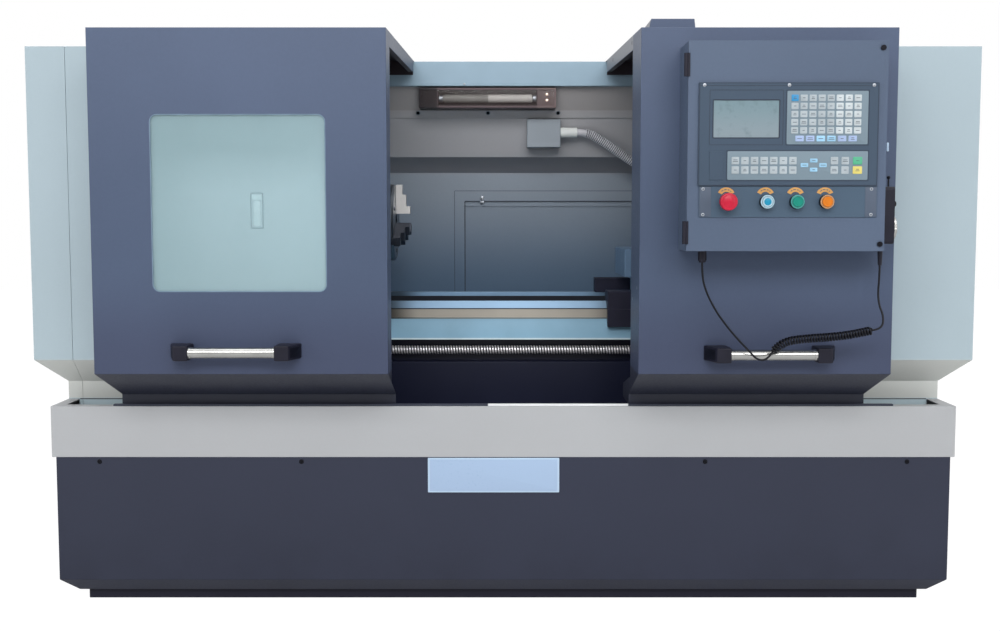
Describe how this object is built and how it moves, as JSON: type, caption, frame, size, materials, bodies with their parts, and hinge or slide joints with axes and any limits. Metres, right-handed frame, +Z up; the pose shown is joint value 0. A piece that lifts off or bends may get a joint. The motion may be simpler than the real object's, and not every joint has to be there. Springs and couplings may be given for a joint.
{
  "type": "cnc turning lathe",
  "caption": "Enclosed turning lathe with a flat bed, two sliding doors, a control box on the right door and a chip tray on a closed base.",
  "frame": {"origin": "on the floor, under the middle of the plinth", "axes": "+X along the spindle axis to the operator's right, +Y away from the operator, +Z up"},
  "size_m": [2.444, 1.52, 1.496],
  "materials": {
    "door_paint": "satin slate blue powder coat",
    "base_paint": "satin dark slate powder coat",
    "tray_paint": "light grey enamel",
    "cover_paint": "pale blue grey enamel",
    "wall_paint": "blue grey enamel",
    "casting_paint": "light blue machine enamel",
    "ground_steel": "ground and oiled",
    "dark_steel": "blackened",
    "bright_chrome": "polished",
    "black_plastic": "fine grain",
    "window_glass": "clear sheet",
    "lamp_glass": "tinted clear cover",
    "lamp_white": "white lamp tube",
    "plate_blue": "bare pale plate",
    "box_beige": "moulded box",
    "conduit_grey": "ribbed conduit",
    "unit_grey": "dark bezel",
    "screen_glass": "unlit display",
    "key_grey": "membrane keys",
    "plate_dark": "switch plate",
    "signal_red": "red mushroom",
    "button_cyan": "lens",
    "button_green": "lens",
    "button_orange": "lens",
    "screw_zinc": "zinc plated",
    "cord_black": "cord jacket",
    "dial_silver": "turned"
  },
  "bodies": {
    "machine": {"plinth": "base_paint", "base_cabinet": "base_paint", "base_front_fittings": "plate_blue", "chip_tray": "tray_paint", "door_rails": "ground_steel", "left_end_cover": "cover_paint", "headstock_cover": "cover_paint", "right_end_cover": "cover_paint", "rear_wall": "wall_paint", "lamp_housing": "unit_grey", "lamp_cover": "lamp_glass", "lamp_tube": "lamp_white", "junction_boxes": "box_beige", "conduit_hose": "conduit_grey", "bed": "casting_paint", "feed_drive": "dark_steel", "headstock": "casting_paint"},
    "ball_screw": {"ball_screw": "ground_steel"},
    "rear_hatch": {"rear_hatch": "wall_paint"},
    "spindle": {"spindle": "ground_steel", "chuck_body": "dark_steel"},
    "jaw_1": {"jaw_1": "ground_steel"},
    "jaw_2": {"jaw_2": "ground_steel"},
    "jaw_3": {"jaw_3": "ground_steel"},
    "carriage": {"saddle": "casting_paint", "way_wipers": "black_plastic"},
    "cross_slide": {"cross_slide": "cover_paint"},
    "tool_post": {"tool_post": "dark_steel"},
    "tailstock": {"tailstock_body": "casting_paint"},
    "quill": {"tailstock_quill": "ground_steel"},
    "handwheel": {"tailstock_handwheel": "bright_chrome"},
    "left_door": {"left_door_panel": "door_paint", "left_door_glass": "window_glass", "left_handle_bar": "bright_chrome", "left_handle_ends": "black_plastic"},
    "right_door": {"right_door_panel": "door_paint", "right_handle_bar": "bright_chrome", "right_handle_ends": "black_plastic", "cable_duct": "door_paint", "control_box": "door_paint", "pendant_body": "black_plastic", "cord_lead": "cord_black", "curly_cord": "cord_black", "cord_tail": "cord_black", "cord_plug": "black_plastic"},
    "control_door": {"control_box_door": "door_paint", "control_box_hinges": "black_plastic", "controller_unit": "unit_grey", "screen": "screen_glass", "control_keys": "key_grey", "switch_plate": "plate_dark", "panel_screws": "screw_zinc"},
    "upper_lock": {"upper_lock": "black_plastic"},
    "lower_lock": {"lower_lock": "black_plastic"},
    "emergency_stop": {"emergency_stop": "signal_red"},
    "white_button": {"white_button": "button_cyan"},
    "green_button": {"green_button": "button_green"},
    "orange_button": {"orange_button": "button_orange"},
    "pendant_dial": {"pendant_dial": "dial_silver"},
    "pendant_selector": {"pendant_selector": "black_plastic"}
  },
  "joints": [
    {"name": "left_door_slide", "type": "slide", "parent": "machine", "child": "left_door", "axis": [1, 0, 0], "range_m": [0, 0.3]},
    {"name": "right_door_slide", "type": "slide", "parent": "machine", "child": "right_door", "axis": [-1, 0, 0], "range_m": [0, 0.3]},
    {"name": "control_door_hinge", "type": "hinge", "parent": "right_door", "child": "control_door", "pos_m": [0.4108, -0.887, 1.165], "axis": [0, 0, -1], "range_deg": [0, 100]},
    {"name": "upper_lock_turn", "type": "hinge", "parent": "control_door", "child": "upper_lock", "pos_m": [0.8545, -0.887, 1.386], "axis": [0, 1, 0], "range_deg": [0, 90]},
    {"name": "lower_lock_turn", "type": "hinge", "parent": "control_door", "child": "lower_lock", "pos_m": [0.8565, -0.887, 0.944], "axis": [0, 1, 0], "range_deg": [0, 90]},
    {"name": "emergency_stop_push", "type": "slide", "parent": "control_door", "child": "emergency_stop", "axis": [0, 1, 0], "range_m": [0, 0.005], "stiffness_N_per_m": 400},
    {"name": "white_button_push", "type": "slide", "parent": "control_door", "child": "white_button", "axis": [0, 1, 0], "range_m": [0, 0.003], "stiffness_N_per_m": 200},
    {"name": "green_button_push", "type": "slide", "parent": "control_door", "child": "green_button", "axis": [0, 1, 0], "range_m": [0, 0.003], "stiffness_N_per_m": 200},
    {"name": "orange_button_push", "type": "slide", "parent": "control_door", "child": "orange_button", "axis": [0, 1, 0], "range_m": [0, 0.003], "stiffness_N_per_m": 200},
    {"name": "pendant_dial_turn", "type": "hinge", "parent": "right_door", "child": "pendant_dial", "pos_m": [0.8923, -0.8425, 0.98], "axis": [1, 0, 0], "continuous": true},
    {"name": "pendant_selector_turn", "type": "hinge", "parent": "right_door", "child": "pendant_selector", "pos_m": [0.8923, -0.8425, 1.036], "axis": [1, 0, 0], "range_deg": [-60, 60]},
    {"name": "rear_hatch_hinge", "type": "hinge", "parent": "machine", "child": "rear_hatch", "pos_m": [0.1975, 0.3383, 0.73], "axis": [-1, 0, 0], "range_deg": [0, 90]},
    {"name": "spindle_turn", "type": "hinge", "parent": "machine", "child": "spindle", "pos_m": [-0.407, -0.035, 0.988], "axis": [1, 0, 0], "continuous": true},
    {"name": "jaw_1_slide", "type": "slide", "parent": "spindle", "child": "jaw_1", "axis": [0, 0, 1], "range_m": [-0.015, 0.008]},
    {"name": "jaw_2_slide", "type": "slide", "parent": "spindle", "child": "jaw_2", "axis": [0, -0.866, -0.5], "range_m": [-0.015, 0.008]},
    {"name": "jaw_3_slide", "type": "slide", "parent": "spindle", "child": "jaw_3", "axis": [0, 0.866, -0.5], "range_m": [-0.015, 0.008]},
    {"name": "carriage_slide", "type": "slide", "parent": "machine", "child": "carriage", "axis": [1, 0, 0], "range_m": [-0.5, 0.05]},
    {"name": "ball_screw_turn", "type": "hinge", "parent": "machine", "child": "ball_screw", "pos_m": [0, -0.215, 0.622], "axis": [1, 0, 0], "range_deg": [-22600, 2350]},
    {"name": "cross_slide_slide", "type": "slide", "parent": "carriage", "child": "cross_slide", "axis": [0, 1, 0], "range_m": [-0.08, 0.08]},
    {"name": "tool_post_turn", "type": "hinge", "parent": "cross_slide", "child": "tool_post", "pos_m": [0.478, -0.12, 0.95], "axis": [0, 0, 1], "range_deg": [-90, 90]},
    {"name": "tailstock_slide", "type": "slide", "parent": "machine", "child": "tailstock", "axis": [1, 0, 0], "range_m": [-0.12, 0.04]},
    {"name": "quill_slide", "type": "slide", "parent": "tailstock", "child": "quill", "axis": [-1, 0, 0], "range_m": [0, 0.1]},
    {"name": "handwheel_turn", "type": "hinge", "parent": "tailstock", "child": "handwheel", "pos_m": [1, -0.035, 0.988], "axis": [1, 0, 0], "range_deg": [-20, 7300]}
  ],
  "couplings": [
    {"joint": "jaw_2_slide", "follows": "jaw_1_slide", "ratio": 1},
    {"joint": "jaw_3_slide", "follows": "jaw_1_slide", "ratio": 1},
    {"joint": "ball_screw_turn", "follows": "carriage_slide", "rad_per_m": 785.4},
    {"joint": "handwheel_turn", "follows": "quill_slide", "rad_per_m": 1256.6}
  ]
}
